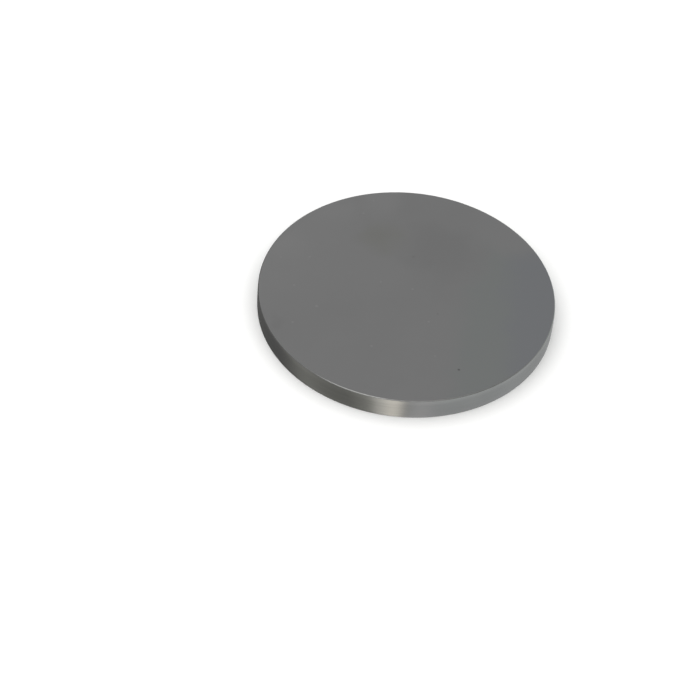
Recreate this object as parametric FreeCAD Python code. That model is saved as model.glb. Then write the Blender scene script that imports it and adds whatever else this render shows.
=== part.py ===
import FreeCAD, Part
import math
import os

# A molybdenum disc: one solid round blank, turned to its diameter and ground flat on both faces.
# It has no bore, step or mark. The only relief is the fine chamfer that breaks both sharp edges,
# which shows as a thin bright line between the face and the rim.
# Sizes are in millimetres. +Z runs up through the thickness, and the origin is the centre of the
# lower face, on which the disc lies.

# Driving dimensions
DISC_DIAMETER = 76.2        # over the turned rim, a 3 inch blank
DISC_THICKNESS = 6.0        # from ground face to ground face
EDGE_BREAK = 0.2            # width of the chamfer, measured in along the face
EDGE_BREAK_ANGLE = 45.0     # degrees, slope of the chamfer below the face

AXIS_FOOT = FreeCAD.Vector(0, 0, 0)
AXIS_DIRECTION = FreeCAD.Vector(0, 0, 1)
FULL_TURN = 360.0


def half_section(diameter, thickness, edge_break, edge_break_angle):
    """The closed outline that the lathe and the grinder leave, from the axis out to the rim."""
    rim_radius = diameter / 2
    face_radius = rim_radius - edge_break
    edge_drop = edge_break * math.tan(math.radians(edge_break_angle))
    corners = [
        FreeCAD.Vector(0, 0, 0),
        FreeCAD.Vector(face_radius, 0, 0),
        FreeCAD.Vector(rim_radius, 0, edge_drop),
        FreeCAD.Vector(rim_radius, 0, thickness - edge_drop),
        FreeCAD.Vector(face_radius, 0, thickness),
        FreeCAD.Vector(0, 0, thickness),
    ]
    return Part.makePolygon(corners + corners[:1])


def turned_disc():
    """The disc: its half section revolved once round the axis, as one solid."""
    outline = half_section(DISC_DIAMETER, DISC_THICKNESS, EDGE_BREAK, EDGE_BREAK_ANGLE)
    return Part.Face(outline).revolve(AXIS_FOOT, AXIS_DIRECTION, FULL_TURN)


def save(shape, node):
    """Writes one sub-part as parts/NODE.step."""
    os.makedirs("parts", exist_ok=True)
    shape.exportStep(os.path.join("parts", node + ".step"))


save(turned_disc(), "molybdenum_disc")
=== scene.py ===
import math
from functools import partial

import bpy
from mathutils import Matrix, Vector


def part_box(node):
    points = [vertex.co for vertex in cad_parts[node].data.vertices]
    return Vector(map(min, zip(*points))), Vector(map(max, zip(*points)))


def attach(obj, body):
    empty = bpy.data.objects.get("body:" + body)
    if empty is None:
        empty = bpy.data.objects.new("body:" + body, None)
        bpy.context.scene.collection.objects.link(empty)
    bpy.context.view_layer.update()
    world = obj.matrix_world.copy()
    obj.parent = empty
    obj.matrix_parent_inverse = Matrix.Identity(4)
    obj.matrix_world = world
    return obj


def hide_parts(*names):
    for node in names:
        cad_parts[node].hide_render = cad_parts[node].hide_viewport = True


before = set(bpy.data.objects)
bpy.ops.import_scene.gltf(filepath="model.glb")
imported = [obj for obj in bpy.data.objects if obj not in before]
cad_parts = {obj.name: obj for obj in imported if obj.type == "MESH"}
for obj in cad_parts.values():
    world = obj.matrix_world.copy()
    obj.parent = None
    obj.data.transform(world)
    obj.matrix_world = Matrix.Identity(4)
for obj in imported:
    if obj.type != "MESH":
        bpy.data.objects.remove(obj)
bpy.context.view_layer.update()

# A molybdenum disc: a solid round blank with flat ground faces, a turned rim and broken edges.
# The lathe tree revolves its half section, three finishes dress the faces, the rim and the edges,
# and the stage sets it on a pale floor under soft light. Lengths are in metres unless a name says so.

bl_info = {
    "name": "Molybdenum Disc",
    "version": (1, 0, 0),
    "blender": (4, 5, 0),
    "location": "3D View > Sidebar > Disc",
    "description": "Turns and finishes a solid molybdenum disc and sets it on a pale studio floor",
    "category": "Object",
}

# What the frame gives
DISC_NODE = "molybdenum_disc"
DISC_BODY = "root"
LOWEST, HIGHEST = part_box(DISC_NODE)
RIM_RADIUS = HIGHEST.x
THICKNESS = HIGHEST.z - LOWEST.z
HAIR = 1e-6

MM = 0.001


def edge_break():
    """Width and drop of the chamfer round the upper face, measured on the frame's own disc."""
    points = [vertex.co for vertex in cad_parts[DISC_NODE].data.vertices]
    face_radius = max(math.hypot(p.x, p.y) for p in points if p.z > HIGHEST.z - HAIR)
    rim_top = max(p.z for p in points if math.hypot(p.x, p.y) > RIM_RADIUS - HAIR)
    return RIM_RADIUS - face_radius, HIGHEST.z - rim_top


BREAK_WIDTH, BREAK_DROP = edge_break()


def linear(hex_colour):
    """An sRGB hex value as the linear colour that the shaders take."""
    shares = [int(hex_colour[k:k + 2], 16) / 255 for k in (1, 3, 5)]
    return [c / 12.92 if c <= 0.04045 else ((c + 0.055) / 1.055) ** 2.4 for c in shares]


def add_node(tree, kind, inputs=(), **settings):
    """Adds a node with its settings.

    inputs maps a socket's number or name to a value, an output or a node, which gives its first
    output. Sockets that the settings switch off don't count.
    """
    node = tree.nodes.new(kind)
    for name, value in settings.items():
        setattr(node, name, value)
    for key, value in dict(inputs).items():
        if isinstance(key, int):
            socket = node.inputs[key]
        else:
            socket = next(s for s in node.inputs if s.enabled and s.name == key)
        if isinstance(value, bpy.types.Node):
            value = next(s for s in value.outputs if s.enabled)
        if isinstance(value, bpy.types.NodeSocket):
            tree.links.new(value, socket)
        else:
            socket.default_value = value
    return node


class DiscShape(bpy.types.PropertyGroup):
    """Sizes that the lathe tree takes besides those of the frame."""

    steps_round: bpy.props.IntProperty(
        name="Steps Round", description="Facets round the rim", default=720, min=24, max=1440)
    corner_rounding: bpy.props.FloatProperty(
        name="Corner Rounding", description="Radius where the edge break meets face and rim",
        default=0.04 * MM, min=0.0, unit="LENGTH", precision=6)
    break_unevenness: bpy.props.FloatProperty(
        name="Break Unevenness", description="How far the hand-broken edge wanders on the face",
        default=0.06 * MM, min=0.0, unit="LENGTH", precision=6)
    shoulder_depth: bpy.props.FloatProperty(
        name="Shoulder Depth", description="How far polishing draws the rim in at its edge breaks",
        default=0.05 * MM, min=0.0, unit="LENGTH", precision=6)
    shoulder_height: bpy.props.FloatProperty(
        name="Shoulder Height", description="Height of rim beside each edge break that draws in",
        default=1.4 * MM, min=0.0, unit="LENGTH", precision=6)
    seed: bpy.props.IntProperty(
        name="Seed", description="Picks the pattern of the uneven edge", default=7, min=0)


class DiscFinish(bpy.types.PropertyGroup):
    """Colours and roughness of the bare metal."""

    face_colour: bpy.props.FloatVectorProperty(
        name="Face", description="Colour of the ground faces", subtype="COLOR", size=3,
        min=0.0, max=1.0, default=linear("#a8a8a8"))
    rim_colour: bpy.props.FloatVectorProperty(
        name="Rim", description="Colour of the turned rim", subtype="COLOR", size=3,
        min=0.0, max=1.0, default=linear("#b4b4b2"))
    edge_colour: bpy.props.FloatVectorProperty(
        name="Edge", description="Colour of the burnished edge breaks", subtype="COLOR", size=3,
        min=0.0, max=1.0, default=linear("#b4b4b2"))
    face_roughness: bpy.props.FloatProperty(
        name="Face Roughness", description="Roughness of the ground faces",
        default=0.30, min=0.05, max=1.0, subtype="FACTOR")
    rim_roughness: bpy.props.FloatProperty(
        name="Rim Roughness", description="Roughness of the turned rim",
        default=0.26, min=0.05, max=1.0, subtype="FACTOR")
    rim_grain: bpy.props.FloatProperty(
        name="Rim Grain", description="How much the turned lines stretch the rim's highlights",
        default=0.8, min=0.0, max=1.0, subtype="FACTOR")
    edge_roughness: bpy.props.FloatProperty(
        name="Edge Roughness", description="Roughness of the burnished edge breaks",
        default=0.24, min=0.05, max=1.0, subtype="FACTOR")


class DiscStage(bpy.types.PropertyGroup):
    """Where the camera stands, and how bright the floor and its light are."""

    camera_distance: bpy.props.FloatProperty(
        name="Camera Distance", description="From the lens to the middle of the upper face",
        default=0.5965, min=0.1, unit="LENGTH")
    camera_elevation: bpy.props.FloatProperty(
        name="Camera Elevation", description="Height of the camera above the face's plane",
        default=math.radians(44.287), subtype="ANGLE", unit="ROTATION")
    camera_roll: bpy.props.FloatProperty(
        name="Camera Roll", description="How far the camera is turned about its line of sight",
        default=math.radians(6.247), subtype="ANGLE", unit="ROTATION")
    lens_mm: bpy.props.FloatProperty(
        name="Lens (mm)", description="Focal length on a 36 mm wide sensor", default=120.0, min=10.0)
    disc_centre_px: bpy.props.FloatVectorProperty(
        name="Disc Centre (px)", description="Where the middle of the upper face falls in the frame",
        size=2, default=(406.88, 292.02))
    floor_colour: bpy.props.FloatVectorProperty(
        name="Floor", description="Colour of the matt floor", subtype="COLOR", size=3,
        min=0.0, max=1.0, default=linear("#f4f4f3"))
    key_strength: bpy.props.FloatProperty(
        name="Key Strength", description="Light that falls on the floor from the soft key",
        default=2.45, min=0.0)


# The half section of the disc runs from the axis out and round to half its height, and is mirrored.
# Rings share out the face, the last of them close to the edge break so that the flat shades flat.
# The shoulder's steps go from the edge break to where the rim is straight.
FACE_RINGS = (0.0, 0.25, 0.5, 0.75, 0.93, 0.997)
SHOULDER_STEPS = (0.0, 0.25, 0.5, 0.75, 1.0)
ROUNDING_STEPS = 3

# Facets within this angle of level are face, those within it of upright are rim, and the rest edge
SLOPE_LIMIT = math.radians(15)


def lower_corners(add, given, face_radius):
    """The corners of the section's lower half from the axis out, each with its radius and height."""
    corners = []
    for share in (*FACE_RINGS, 1.0):
        radius = add("ShaderNodeMath", {0: face_radius, 1: share}, operation="MULTIPLY")
        corners.append((radius, 0.0))
    for share in SHOULDER_STEPS:
        radius = add("ShaderNodeMath",
                     {0: given["Shoulder Depth"], 1: -(1 - share) ** 2, 2: given["Rim Radius"]},
                     operation="MULTIPLY_ADD")
        height = add("ShaderNodeMath",
                     {0: given["Shoulder Height"], 1: share, 2: given["Break Drop"]},
                     operation="MULTIPLY_ADD")
        corners.append((radius, height))
    return corners


def section_curve(tree, given, corners):
    """The section from axis to axis as a curve. Its upper half mirrors the lower."""
    add = partial(add_node, tree)
    index = add("GeometryNodeInputIndex")
    last = 2 * len(corners) - 1
    from_end = add("ShaderNodeMath", {0: float(last), 1: index}, operation="SUBTRACT")
    half_index = add("ShaderNodeMath", {0: index, 1: from_end}, operation="MINIMUM")
    pick = add("GeometryNodeIndexSwitch", {"Index": half_index}, data_type="VECTOR")
    while len(pick.index_switch_items) < len(corners):
        pick.index_switch_items.new()
    for k, (radius, height) in enumerate(corners):
        corner = add("ShaderNodeCombineXYZ", {"X": radius, "Z": height})
        tree.links.new(corner.outputs[0], pick.inputs[1 + k])
    picked = add("ShaderNodeSeparateXYZ", {0: pick}).outputs
    is_upper = add("ShaderNodeMath", {0: index, 1: last / 2}, operation="GREATER_THAN")
    from_top = add("ShaderNodeMath", {0: given["Thickness"], 1: picked["Z"]}, operation="SUBTRACT")
    height = add("ShaderNodeMix", {"Factor": is_upper, "A": picked["Z"], "B": from_top})
    section_place = add("ShaderNodeCombineXYZ", {"X": picked["X"], "Z": height})

    # Only the two corners of the edge break are rounded, half a step either side of its middle
    middle_of_break = len(FACE_RINGS) + 0.5
    just_over_half = 0.6
    is_sharp = add("ShaderNodeMath", {0: half_index, 1: middle_of_break, 2: just_over_half},
                   operation="COMPARE")
    rounding = add("ShaderNodeMath", {0: is_sharp, 1: given["Corner Rounding"]}, operation="MULTIPLY")
    line = add("GeometryNodeMeshLine", {"Count": last + 1})
    section = add("GeometryNodeSetPosition", {"Geometry": line, "Position": section_place})
    curve = add("GeometryNodeMeshToCurve", {"Mesh": section})
    return add("GeometryNodeFilletCurve",
               {"Curve": curve, "Radius": rounding, "Count": ROUNDING_STEPS, "Limit Radius": True},
               mode="POLY")


def uneven_radius(add, given, point, way_round, last_ring, face_radius):
    """The radius of a point of the section, drawn in a little where the edge was broken by hand."""
    # The pattern moves on by one for each millimetre of height, so it differs above and below
    side = add("ShaderNodeMath", {0: point["Z"], 1: 1 / MM}, operation="MULTIPLY")
    cosine, sine = way_round
    track = add("ShaderNodeCombineXYZ", {"X": cosine, "Y": sine, "Z": side})
    wander = add("ShaderNodeTexNoise",
                 {"Vector": track, "W": given["Seed"], "Scale": 4.0, "Detail": 3.0,
                  "Roughness": 0.6}, noise_dimensions="4D")

    # It draws in the edge of the face most, and less and less toward the last ring and the rim
    rise = add("ShaderNodeMapRange",
               {"Value": point["X"], "From Min": last_ring, "From Max": face_radius})
    fall = add("ShaderNodeMapRange",
               {"Value": point["X"], "From Min": given["Rim Radius"], "From Max": face_radius})
    nearness = add("ShaderNodeMath", {0: rise, 1: fall}, operation="MULTIPLY")
    reach = add("ShaderNodeMath", {0: nearness, 1: given["Break Unevenness"]}, operation="MULTIPLY")
    drawn_in = add("ShaderNodeMath", {0: reach, 1: wander}, operation="MULTIPLY")
    return add("ShaderNodeMath", {0: point["X"], 1: drawn_in}, operation="SUBTRACT")


def revolved(add, given, section, last_ring, face_radius):
    """The section turned round the axis into one closed mesh, with its own unwrapping."""
    # A grid with one column for each point of the section and one row for each step round.
    # The rows run clockwise, seen from above, so that the facets face outward.
    place = add("GeometryNodeInputPosition")
    rings = add("GeometryNodeAttributeDomainSize", {"Geometry": section}, component="CURVE")
    ring_count = rings.outputs["Point Count"]
    rows = add("ShaderNodeMath", {0: given["Steps Round"], 1: 1.0}, operation="ADD")
    grid = add("GeometryNodeMeshGrid",
               {"Size X": 1.0, "Size Y": 1.0, "Vertices X": ring_count, "Vertices Y": rows})
    unwrapped = add("GeometryNodeStoreNamedAttribute",
                    {"Geometry": grid, "Name": "turned", "Value": grid.outputs["UV Map"]},
                    data_type="FLOAT2", domain="CORNER")
    on_grid = add("ShaderNodeSeparateXYZ",
                  {0: add("ShaderNodeVectorMath", {0: place, 1: (0.5, 0.5, 0.0)})}).outputs
    last_column = add("ShaderNodeMath", {0: ring_count, 1: 1.0}, operation="SUBTRACT")
    column = add("ShaderNodeMath", {0: on_grid["X"], 1: last_column}, operation="MULTIPLY")
    ring = add("ShaderNodeMath", {0: column}, operation="ROUND")
    angle = add("ShaderNodeMath", {0: on_grid["Y"], 1: -math.tau}, operation="MULTIPLY")
    cosine = add("ShaderNodeMath", {0: angle}, operation="COSINE")
    sine = add("ShaderNodeMath", {0: angle}, operation="SINE")
    found = add("GeometryNodeSampleIndex", {"Geometry": section, "Index": ring, "Value": place},
                data_type="FLOAT_VECTOR")
    point = add("ShaderNodeSeparateXYZ", {0: found}).outputs
    radius = uneven_radius(add, given, point, (cosine, sine), last_ring, face_radius)

    # The grid is wrapped round the axis, and its seam and its two poles are closed
    turned_place = add("ShaderNodeCombineXYZ",
                       {"X": add("ShaderNodeMath", {0: radius, 1: cosine}, operation="MULTIPLY"),
                        "Y": add("ShaderNodeMath", {0: radius, 1: sine}, operation="MULTIPLY"),
                        "Z": point["Z"]})
    turned = add("GeometryNodeSetPosition", {"Geometry": unwrapped, "Position": turned_place})
    closed = add("GeometryNodeMergeByDistance", {"Geometry": turned, "Distance": HAIR})
    smooth = add("GeometryNodeSetShadeSmooth", {"Geometry": closed, "Shade Smooth": True})
    return add("GeometryNodeRealizeInstances", {"Geometry": smooth})


def lathe_tree(face_metal, rim_metal, edge_metal):
    """The lathe: revolves the half section about Z and gives each band of it its own finish."""
    tree = bpy.data.node_groups.new("disc_lathe", "GeometryNodeTree")
    add = partial(add_node, tree)
    tree.interface.new_socket(name="Geometry", in_out="OUTPUT", socket_type="NodeSocketGeometry")
    for name in ("Rim Radius", "Thickness", "Break Width", "Break Drop", "Corner Rounding",
                 "Break Unevenness", "Shoulder Depth", "Shoulder Height"):
        tree.interface.new_socket(name=name, in_out="INPUT", socket_type="NodeSocketFloat")
    for name in ("Steps Round", "Seed"):
        tree.interface.new_socket(name=name, in_out="INPUT", socket_type="NodeSocketInt")
    given = add("NodeGroupInput").outputs
    face_radius = add("ShaderNodeMath", {0: given["Rim Radius"], 1: given["Break Width"]},
                      operation="SUBTRACT")
    corners = lower_corners(add, given, face_radius)
    last_ring = corners[len(FACE_RINGS) - 1][0]
    section = section_curve(tree, given, corners)
    shape = revolved(add, given, section, last_ring, face_radius)

    # Each band takes the finish that suits the slope of its facets
    slope = add("ShaderNodeSeparateXYZ", {0: add("GeometryNodeInputNormal")}).outputs["Z"]
    steepness = add("ShaderNodeMath", {0: slope}, operation="ABSOLUTE")
    is_rim = add("ShaderNodeMath", {0: steepness, 1: math.sin(SLOPE_LIMIT)}, operation="LESS_THAN")
    is_face = add("ShaderNodeMath", {0: steepness, 1: math.cos(SLOPE_LIMIT)}, operation="GREATER_THAN")
    for chosen, metal in ((True, edge_metal), (is_rim, rim_metal), (is_face, face_metal)):
        shape = add("GeometryNodeSetMaterial",
                    {"Geometry": shape, "Selection": chosen, "Material": metal})
    add("NodeGroupOutput", {0: shape})
    return tree


def new_finish(name):
    """An empty material, and the function that adds nodes to it."""
    finish = bpy.data.materials.new(name)
    finish.use_nodes = True
    finish.node_tree.nodes.clear()
    return finish, partial(add_node, finish.node_tree)


# What the values of a noise texture mostly stay between, and those of the grinding grain
NOISE_SPAN = {"From Min": 0.3, "From Max": 0.7}
GRAIN_SPAN = {"From Min": 0.25, "From Max": 0.75}

# How far the grinding grain moves the roughness of the faces up and down
ROUGHNESS_DRIFT = 0.015

# Faint films on the upper face, each a soft-edged patch: where its middle is and its radius and border
# in millimetres, with +X to the right and +Y away from the camera, and the metal's colour there. The
# green and blue patches on the right are painted reflection, a cooler and darker tint from the
# surroundings mirrored there.
FILMS = (
    ("thin_haze_left", -46, 21, 31, 16, "#acacac"),
    ("thin_haze_middle", -10, 7, 10, 8, "#aaaaaa"),
    ("thin_haze_at_the_back", 6, 52, 17, 5, "#aaaaaa"),
    ("pale_haze_left", -32.5, 12.5, 4, 4, "#afafaf"),
    ("pale_haze_back_left", -22.0, 29.0, 5.5, 4, "#aeaeae"),
    ("pale_haze_back", -9.5, 34, 5, 4, "#aeaeae"),
    # Painted reflection: a cooler, slightly darker tint over the right of the upper face
    ("painted_green_reflection_right", 214, -28, 200, 4, "#a5a8a7"),
    ("painted_blue_reflection_right", 226, 2, 200, 4, "#a3a5a8"),
    ("grey_haze_back_right", 28, 30, 12, 5, "#aaaaaa"),
    ("grey_smudge", 8.0, 17.0, 9, 5, "#a4a4a4"),
    ("brown_tarnish", -8.2, 19.5, 4.5, 4, "#a5a5a2"),
    ("handling_smudge", -31, -16, 1.8, 1.6, "#a4a4a4"),
)

# The outlines of the films waver: how far apart their bends are, and how far noise that went
# all the way from 0 to 1 would move them
WAVER_LENGTH_MM = 7
WAVER_SPAN_MM = 8

# Specks in the grind of the upper face: their colour, then where each is and its radius in millimetres.
# A nick is painted bright as a painted glint, a pit is painted dark as the painted shade in its hollow,
# and a dull spot is only a little darker.
SPECKS = {
    # Painted glints: brighter specks where small nicks catch the light
    "nick_glints": ("#b2b2b2", (
        (-22.3, -8.6, 0.44), (1.4, 1.3, 0.35), (-6.9, 2.7, 0.34), (-25.9, 9.1, 0.33),
        (-28.8, -1.9, 0.33), (6.3, -9.8, 0.35), (-7.3, -20.5, 0.35), (-33.3, 7.8, 0.34),
        (-27.7, -15.2, 0.32), (-13.7, 27.8, 0.34), (-11.5, 33.1, 0.32), (8.7, -21.6, 0.28))),
    # Painted shade: the dark of a pit's hollow
    "pit_shade": ("#868686", ((14.9, -25.4, 0.36),)),
    "dull_spots": ("#9f9f9f", ((0.7, 13.3, 0.45), (8.4, -6.7, 0.30))),
}

# A speck is whole up to the first share of its radius and gone at the second
SPECK_CORE = 0.6
SPECK_END = 1.2


def films_over(add, tone, place):
    """The tone of the metal with the films and the painted reflection tints laid over it, on the upper
    face alone.
    """
    height = add("ShaderNodeSeparateXYZ", {0: place}).outputs["Z"]
    on_top = add("ShaderNodeMath", {0: height, 1: HIGHEST.z - HAIR}, operation="GREATER_THAN")
    waver = add("ShaderNodeTexNoise",
                {"Vector": place, "Scale": 1 / (WAVER_LENGTH_MM * MM), "Detail": 2.0})
    offset = add("ShaderNodeVectorMath", {0: waver.outputs["Color"], 1: (0.5, 0.5, 0.5)},
                 operation="SUBTRACT")
    span = WAVER_SPAN_MM * MM
    wavering = add("ShaderNodeVectorMath", {0: offset, 1: (span, span, 0.0), 2: place},
                   operation="MULTIPLY_ADD")
    for name, x, y, radius, border, colour in FILMS:
        away = add("ShaderNodeVectorMath", {0: wavering, 1: (x * MM, y * MM, HIGHEST.z)},
                   operation="DISTANCE")
        share = add("ShaderNodeMapRange",
                    {"Value": away.outputs["Value"], "From Min": (radius + border) * MM,
                     "From Max": (radius - border) * MM}, interpolation_type="SMOOTHSTEP")
        share.label = name
        shown = add("ShaderNodeMath", {0: share, 1: on_top}, operation="MULTIPLY")
        tone = add("ShaderNodeMix", {"Factor": shown, "A": tone, "B": [*linear(colour), 1.0]},
                   data_type="RGBA")
    return tone


def specks_over(add, tone, place):
    """The tone of the metal with the specks laid over it, each with a soft border; some are painted
    glints and painted shade.
    """
    for name, (colour, places) in SPECKS.items():
        mask = 0.0
        for x, y, radius in places:
            away = add("ShaderNodeVectorMath", {0: place, 1: (x * MM, y * MM, HIGHEST.z)},
                       operation="DISTANCE")
            share = add("ShaderNodeMapRange",
                        {"Value": away.outputs["Value"], "From Min": SPECK_END * radius * MM,
                         "From Max": SPECK_CORE * radius * MM})
            mask = add("ShaderNodeMath", {0: mask, 1: share}, operation="MAXIMUM")
        mask.label = name
        tone = add("ShaderNodeMix", {"Factor": mask, "A": tone, "B": [*linear(colour), 1.0]},
                   data_type="RGBA")
    return tone


def ground_face_metal(finish):
    """Surface-ground molybdenum: a fine even satin, darker than polished metal.

    Handling has left faint films of tarnish and a few specks on the upper face. A cooler tint on its
    right is painted reflection, and some specks are painted glints and painted shade.
    """
    metal, add = new_finish("ground_molybdenum")
    place = add("ShaderNodeTexCoord").outputs["Object"]

    # The grind is never quite even: soft clouds, a few centimetres and a few millimetres across
    tone = list(finish.face_colour) + [1.0]
    for size_mm, depth in ((22, 0.012), (6, 0.006)):
        cloud = add("ShaderNodeTexNoise", {"Vector": place, "Scale": 1 / (size_mm * MM), "Detail": 2.0})
        shade = add("ShaderNodeMapRange",
                    {**NOISE_SPAN, "Value": cloud, "To Min": 1 - depth, "To Max": 1 + depth})
        tone = add("ShaderNodeMix", {"Factor": 1.0, "A": tone, "B": shade}, data_type="RGBA",
                   blend_type="MULTIPLY")
    tone = films_over(add, tone, place)
    tone = specks_over(add, tone, place)

    # Grinding grain: real grit marks are about 0.02 mm wide, drawn 0.3 mm wide so that they show
    mark_length = 9 * MM
    mark_width = 0.3 * MM
    mark_turn = math.radians(12)
    turned = add("ShaderNodeMapping",
                 {"Vector": place, "Rotation": (0.0, 0.0, mark_turn),
                  "Scale": (1 / mark_length, 1 / mark_width, 1 / mark_length)})
    grain = add("ShaderNodeTexNoise", {"Vector": turned, "Scale": 1.0, "Detail": 2.0})
    rough = add("ShaderNodeMapRange",
                {**GRAIN_SPAN, "Value": grain,
                 "To Min": finish.face_roughness - ROUGHNESS_DRIFT,
                 "To Max": finish.face_roughness + ROUGHNESS_DRIFT})
    bump = add("ShaderNodeBump", {"Height": grain, "Strength": 0.02, "Distance": 0.02 * MM})
    shader = add("ShaderNodeBsdfPrincipled",
                 {"Base Color": tone, "Metallic": 1.0, "Roughness": rough, "Normal": bump})
    add("ShaderNodeOutputMaterial", {"Surface": shader})
    return metal


def turned_rim_metal(finish):
    """Turned molybdenum: fine lines run round the rim and spread its highlights up and down."""
    metal, add = new_finish("turned_molybdenum")
    place = add("ShaderNodeTexCoord").outputs["Object"]

    # The tool's feed is about 0.1 mm a turn, drawn 0.25 mm so that its lines show
    line_length = 14 * MM
    line_width = 0.25 * MM
    stretched = add("ShaderNodeMapping",
                    {"Vector": place,
                     "Scale": (1 / line_length, 1 / line_length, 1 / line_width)})
    lines = add("ShaderNodeTexNoise", {"Vector": stretched, "Scale": 1.0, "Detail": 3.0})
    shade = add("ShaderNodeMapRange",
                {**NOISE_SPAN, "Value": lines, "To Min": 0.96, "To Max": 1.04})

    # Clouds a few millimetres across change the tone half as much as the lines do
    cloud = add("ShaderNodeTexNoise", {"Vector": place, "Scale": 1 / (5 * MM), "Detail": 2.0})
    drift = add("ShaderNodeMapRange",
                {**NOISE_SPAN, "Value": cloud, "To Min": 0.98, "To Max": 1.02})
    both = add("ShaderNodeMath", {0: shade, 1: drift}, operation="MULTIPLY")

    # Painted reflection: a band along the upper edge is painted a little brighter, and less along the
    # lower, in place of the lighter surroundings that the rim mirrors there. The painted sheen fades
    # between these two depths.
    sheen_full_to = 0.6 * MM
    sheen_gone_from = 2.0 * MM
    height = add("ShaderNodeSeparateXYZ", {0: place}).outputs["Z"]
    for edge_height, sheen_gain in ((HIGHEST.z, 0.10), (LOWEST.z, 0.04)):
        away = add("ShaderNodeMath", {0: height, 1: edge_height}, operation="SUBTRACT")
        depth = add("ShaderNodeMath", {0: away}, operation="ABSOLUTE")
        painted_sheen = add("ShaderNodeMapRange",
                     {"Value": depth, "From Min": sheen_full_to, "From Max": sheen_gone_from,
                      "To Min": 1 + sheen_gain, "To Max": 1.0}, interpolation_type="SMOOTHSTEP")
        both = add("ShaderNodeMath", {0: both, 1: painted_sheen}, operation="MULTIPLY")
    tone = add("ShaderNodeMix", {"Factor": 1.0, "A": [*finish.rim_colour, 1.0], "B": both},
               data_type="RGBA", blend_type="MULTIPLY")
    bump = add("ShaderNodeBump", {"Height": lines, "Strength": 0.08, "Distance": 0.02 * MM})
    along = add("ShaderNodeTangent", direction_type="UV_MAP", uv_map="turned")
    shader = add("ShaderNodeBsdfPrincipled",
                 {"Base Color": tone, "Metallic": 1.0, "Roughness": finish.rim_roughness,
                  "Anisotropic": finish.rim_grain, "Tangent": along, "Normal": bump})
    add("ShaderNodeOutputMaterial", {"Surface": shader})
    return metal


def burnished_edge_metal(finish):
    """Molybdenum edge broken with a fine stone: narrow, bright and a little uneven."""
    metal, add = new_finish("burnished_molybdenum")
    place = add("ShaderNodeTexCoord").outputs["Object"]
    nicks = add("ShaderNodeTexNoise", {"Vector": place, "Scale": 1 / (1.2 * MM), "Detail": 3.0})
    shade = add("ShaderNodeMapRange",
                {**NOISE_SPAN, "Value": nicks, "To Min": 0.88, "To Max": 1.06})
    tone = add("ShaderNodeMix", {"Factor": 1.0, "A": [*finish.edge_colour, 1.0], "B": shade},
               data_type="RGBA", blend_type="MULTIPLY")
    shader = add("ShaderNodeBsdfPrincipled",
                 {"Base Color": tone, "Metallic": 1.0, "Roughness": finish.edge_roughness})
    add("ShaderNodeOutputMaterial", {"Surface": shader})
    return metal


def plain_mesh(name, tree, sizes):
    """Runs a geometry tree on an empty object and returns the result as a plain mesh object."""
    blank = bpy.data.objects.new(name + "_blank", bpy.data.meshes.new(name + "_blank"))
    bpy.context.scene.collection.objects.link(blank)
    modifier = blank.modifiers.new("lathe", "NODES")
    modifier.node_group = tree
    sockets = {item.name: item.identifier for item in tree.interface.items_tree
               if item.in_out == "INPUT"}
    for label, value in sizes.items():
        modifier[sockets[label]] = value
    evaluated = blank.evaluated_get(bpy.context.evaluated_depsgraph_get())
    mesh = bpy.data.meshes.new_from_object(evaluated)
    bpy.data.objects.remove(blank)
    mesh.name = name
    piece = bpy.data.objects.new(name, mesh)
    bpy.context.scene.collection.objects.link(piece)
    return piece


class DISC_OT_turn(bpy.types.Operator):
    """Turn the disc on the lathe tree and give its faces, rim and edges their finish"""

    bl_idname = "disc.turn"
    bl_label = "Turn the Disc"
    bl_options = {"REGISTER", "UNDO"}

    def execute(self, context):
        shape = context.scene.disc_shape
        finish = context.scene.disc_finish
        tree = lathe_tree(ground_face_metal(finish), turned_rim_metal(finish),
                          burnished_edge_metal(finish))
        disc = plain_mesh("turned_disc", tree, {
            "Rim Radius": RIM_RADIUS, "Thickness": THICKNESS, "Break Width": BREAK_WIDTH,
            "Break Drop": BREAK_DROP, "Corner Rounding": shape.corner_rounding,
            "Break Unevenness": shape.break_unevenness, "Shoulder Depth": shape.shoulder_depth,
            "Shoulder Height": shape.shoulder_height, "Steps Round": shape.steps_round,
            "Seed": shape.seed,
        })
        if not disc.data.polygons:
            raise RuntimeError("The lathe tree made no facets")
        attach(disc, DISC_BODY)
        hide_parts(DISC_NODE)
        return {"FINISHED"}


# The room that the metal mirrors has one level above the horizon and another below. They blend
# where a line of sight of length 1 rises or falls by less than HORIZON_BLEND. What the camera
# itself sees is the backdrop.
ROOM_ABOVE = 0.30
ROOM_BELOW = 0.13
HORIZON_BLEND = 0.1
BACKDROP = 1.0

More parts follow.
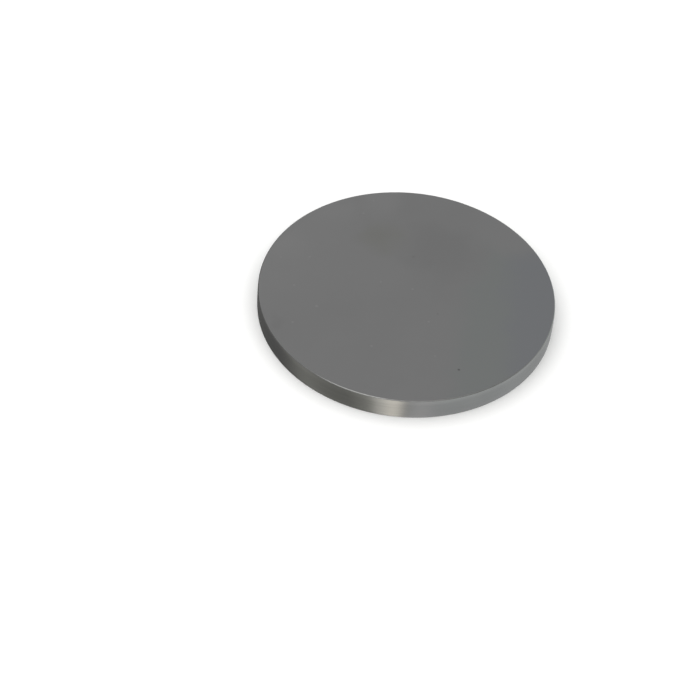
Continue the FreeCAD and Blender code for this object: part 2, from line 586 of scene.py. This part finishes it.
# Soft-edged panels in the room, each laid over those before it. A panel has its azimuth and
# elevation, half its width and height, and its soft border, all in degrees, then its colour
# and its level.
PANELS = (
    ("pale_ceiling", 90, 65, 180, 29, 8, "#ffffff", 0.470),
    ("grey_wall_far_right", 40, 44, 38, 30, 12, "#fbfdff", 0.38),
    ("pale_table_on_the_right", 10, -60, 92, 50, 9, "#f9fcff", 0.475),
    ("bright_part_of_the_table", 30, -60, 34, 50, 10, "#f9fcff", 0.505),
    ("far_side_of_the_table", 63, -50, 38, 40, 5, "#fbfdff", 0.445),
    ("far_edge_of_the_table", 8, -12, 76, 17, 10, "#f8fffc", 0.72),
    ("corner_of_the_table", -68, -50, 8, 34, 6, "#fdfdff", 0.565),
    ("wide_glow_round_the_lamp", -126, -50, 24, 34, 10, "#fdfdf6", 0.205),
    ("pale_end_of_the_table", -164, -50, 15, 34, 13, "#fdfdf6", 0.31),
    ("glow_round_the_lamp", -110, -50, 10, 34, 7, "#fdfdf6", 0.31),
    ("shade_of_the_lamp", -98, -48, 8, 34, 4, "#fffdf6", 0.78),
    ("lamp_by_the_camera", -90.2, -48, 6.3, 34, 5, "#fffaf0", 1.15),
    ("pale_wall_behind_the_camera", -78, 43, 22, 12, 8, "#ffffff", 0.62),
    ("window_over_the_left_shoulder", -122, 43, 22, 12, 7, "#ffffff", 1.2),
)


def direction(azimuth, elevation):
    """Unit vector from an azimuth anticlockwise from +X and an elevation, both in degrees."""
    a, e = math.radians(azimuth), math.radians(elevation)
    return Vector((math.cos(e) * math.cos(a), math.cos(e) * math.sin(a), math.sin(e)))


def panel_share(add, sight, lift, azimuth, elevation, half_width, half_height, soft):
    """How much of a panel shows along a line of sight: all inside its soft border, none outside."""
    ahead = add("ShaderNodeVectorMath", {0: sight, 1: direction(azimuth, 0)},
                operation="DOT_PRODUCT").outputs["Value"]
    aside = add("ShaderNodeVectorMath", {0: sight, 1: direction(azimuth + 90, 0)},
                operation="DOT_PRODUCT").outputs["Value"]
    turn = add("ShaderNodeMath", {0: aside, 1: ahead}, operation="ARCTAN2")
    share = 1.0
    for angle, middle, half in ((turn, 0.0, half_width), (lift, elevation, half_height)):
        off = add("ShaderNodeMath", {0: angle, 1: math.radians(middle)}, operation="SUBTRACT")
        size = add("ShaderNodeMath", {0: off}, operation="ABSOLUTE")
        edge = add("ShaderNodeMapRange",
                   {"Value": size, "From Min": math.radians(half + soft),
                    "From Max": math.radians(half - soft)}, interpolation_type="SMOOTHSTEP")
        share = add("ShaderNodeMath", {0: share, 1: edge}, operation="MULTIPLY")
    return share


def light_tent():
    """The world: a dim room with soft panels for the metal to mirror, and a pale backdrop."""
    world = bpy.data.worlds.new("light_tent")
    world.use_nodes = True
    world.node_tree.nodes.clear()
    add = partial(add_node, world.node_tree)
    sight = add("ShaderNodeTexCoord").outputs["Generated"]
    height = add("ShaderNodeSeparateXYZ", {0: sight}).outputs["Z"]
    lift = add("ShaderNodeMath", {0: height}, operation="ARCSINE")
    light = add("ShaderNodeMapRange",
                {"Value": height, "From Min": -HORIZON_BLEND, "From Max": HORIZON_BLEND,
                 "To Min": ROOM_BELOW, "To Max": ROOM_ABOVE}, interpolation_type="SMOOTHSTEP")
    for name, *place, colour, level in PANELS:
        share = panel_share(add, sight, lift, *place)
        share.label = name
        glow = [level * c for c in linear(colour)] + [1.0]
        light = add("ShaderNodeMix", {"Factor": share, "A": light, "B": glow}, data_type="RGBA")
    seen = add("ShaderNodeLightPath").outputs["Is Camera Ray"]
    light = add("ShaderNodeMix", {"Factor": seen, "A": light, "B": [BACKDROP] * 3 + [1.0]},
                data_type="RGBA")
    room = add("ShaderNodeBackground", {"Color": light})
    add("ShaderNodeOutputWorld", {"Surface": room})
    return world


# Half the floor's width, the soft key's azimuth and elevation in degrees, and how wide it looks
FLOOR_REACH = 3.0
KEY_PLACE = (-125, 80)
KEY_SPREAD = math.radians(110)

# The width of the picture and of the camera's sensor
FRAME_PX = 700
SENSOR_MM = 36.0


def pale_floor(colour):
    """A wide matt floor level with the lower face. The metal doesn't mirror it."""
    mesh = bpy.data.meshes.new("floor")
    corners = [(x * FLOOR_REACH, y * FLOOR_REACH, LOWEST.z)
               for x, y in ((-1, -1), (1, -1), (1, 1), (-1, 1))]
    mesh.from_pydata(corners, [], [(0, 1, 2, 3)])
    floor = bpy.data.objects.new("floor", mesh)
    bpy.context.scene.collection.objects.link(floor)
    matt, add = new_finish("matt_floor")
    shader = add("ShaderNodeBsdfDiffuse", {"Color": [*colour, 1.0]})
    add("ShaderNodeOutputMaterial", {"Surface": shader})
    mesh.materials.append(matt)
    floor.visible_glossy = False
    floor.visible_shadow = False


def soft_key(strength):
    """A very wide soft key from overhead. It lights the floor and stays out of the metal's glints."""
    light = bpy.data.lights.new("soft_key", "SUN")
    light.energy = strength
    light.angle = KEY_SPREAD
    key = bpy.data.objects.new("soft_key", light)
    key.rotation_mode = "QUATERNION"
    key.rotation_quaternion = (-direction(*KEY_PLACE)).to_track_quat("-Z", "Y")
    key.visible_glossy = False
    bpy.context.scene.collection.objects.link(key)


def camera_at_the_photograph(stage):
    """The camera at the photograph's angle, with the upper face's middle where it falls there."""
    lens = bpy.data.cameras.new("camera")
    lens.sensor_width = SENSOR_MM
    lens.lens = stage.lens_mm
    camera = bpy.data.objects.new("camera", lens)
    bpy.context.scene.collection.objects.link(camera)
    aim = Vector((0, 0, HIGHEST.z))
    back = direction(-90, math.degrees(stage.camera_elevation))
    focal_px = stage.lens_mm / SENSOR_MM * FRAME_PX
    across, down = (value - FRAME_PX / 2 for value in stage.disc_centre_px)
    ray = Vector((across, -down, -focal_px))
    level = (-back).to_track_quat("-Z", "Y")
    roll = Matrix.Rotation(stage.camera_roll, 3, "Z").to_quaternion()
    turn = Vector((0, 0, -1)).rotation_difference(ray)
    camera.rotation_mode = "QUATERNION"
    camera.rotation_quaternion = level @ roll @ turn.inverted()
    camera.location = aim + back * stage.camera_distance
    bpy.context.scene.camera = camera


class DISC_OT_set_stage(bpy.types.Operator):
    """Set the disc on a pale floor under soft light, with the camera at the photograph's angle"""

    bl_idname = "disc.set_stage"
    bl_label = "Set the Stage"
    bl_options = {"REGISTER", "UNDO"}

    def execute(self, context):
        stage = context.scene.disc_stage
        pale_floor(stage.floor_colour)
        soft_key(stage.key_strength)
        camera_at_the_photograph(stage)
        context.scene.world = light_tent()
        context.scene.view_settings.view_transform = "Standard"
        return {"FINISHED"}


class DISC_PT_sidebar(bpy.types.Panel):
    """The disc's tools and sizes"""

    bl_idname = "DISC_PT_sidebar"
    bl_label = "Molybdenum Disc"
    bl_space_type = "VIEW_3D"
    bl_region_type = "UI"
    bl_category = "Disc"

    def draw(self, context):
        layout = self.layout
        for groups, operator in (((context.scene.disc_shape, context.scene.disc_finish), DISC_OT_turn),
                                 ((context.scene.disc_stage,), DISC_OT_set_stage)):
            for settings in groups:
                for name in settings.__annotations__:
                    layout.prop(settings, name)
            layout.operator(operator.bl_idname)


GROUPS = {"disc_shape": DiscShape, "disc_finish": DiscFinish, "disc_stage": DiscStage}
CLASSES = (*GROUPS.values(), DISC_OT_turn, DISC_OT_set_stage, DISC_PT_sidebar)


def register():
    for cls in CLASSES:
        bpy.utils.register_class(cls)
    for name, group in GROUPS.items():
        setattr(bpy.types.Scene, name, bpy.props.PointerProperty(type=group))


def unregister():
    for name in GROUPS:
        delattr(bpy.types.Scene, name)
    for cls in reversed(CLASSES):
        bpy.utils.unregister_class(cls)


def main():
    register()
    bpy.ops.disc.turn()
    bpy.ops.disc.set_stage()


if __name__ == "__main__":
    main()
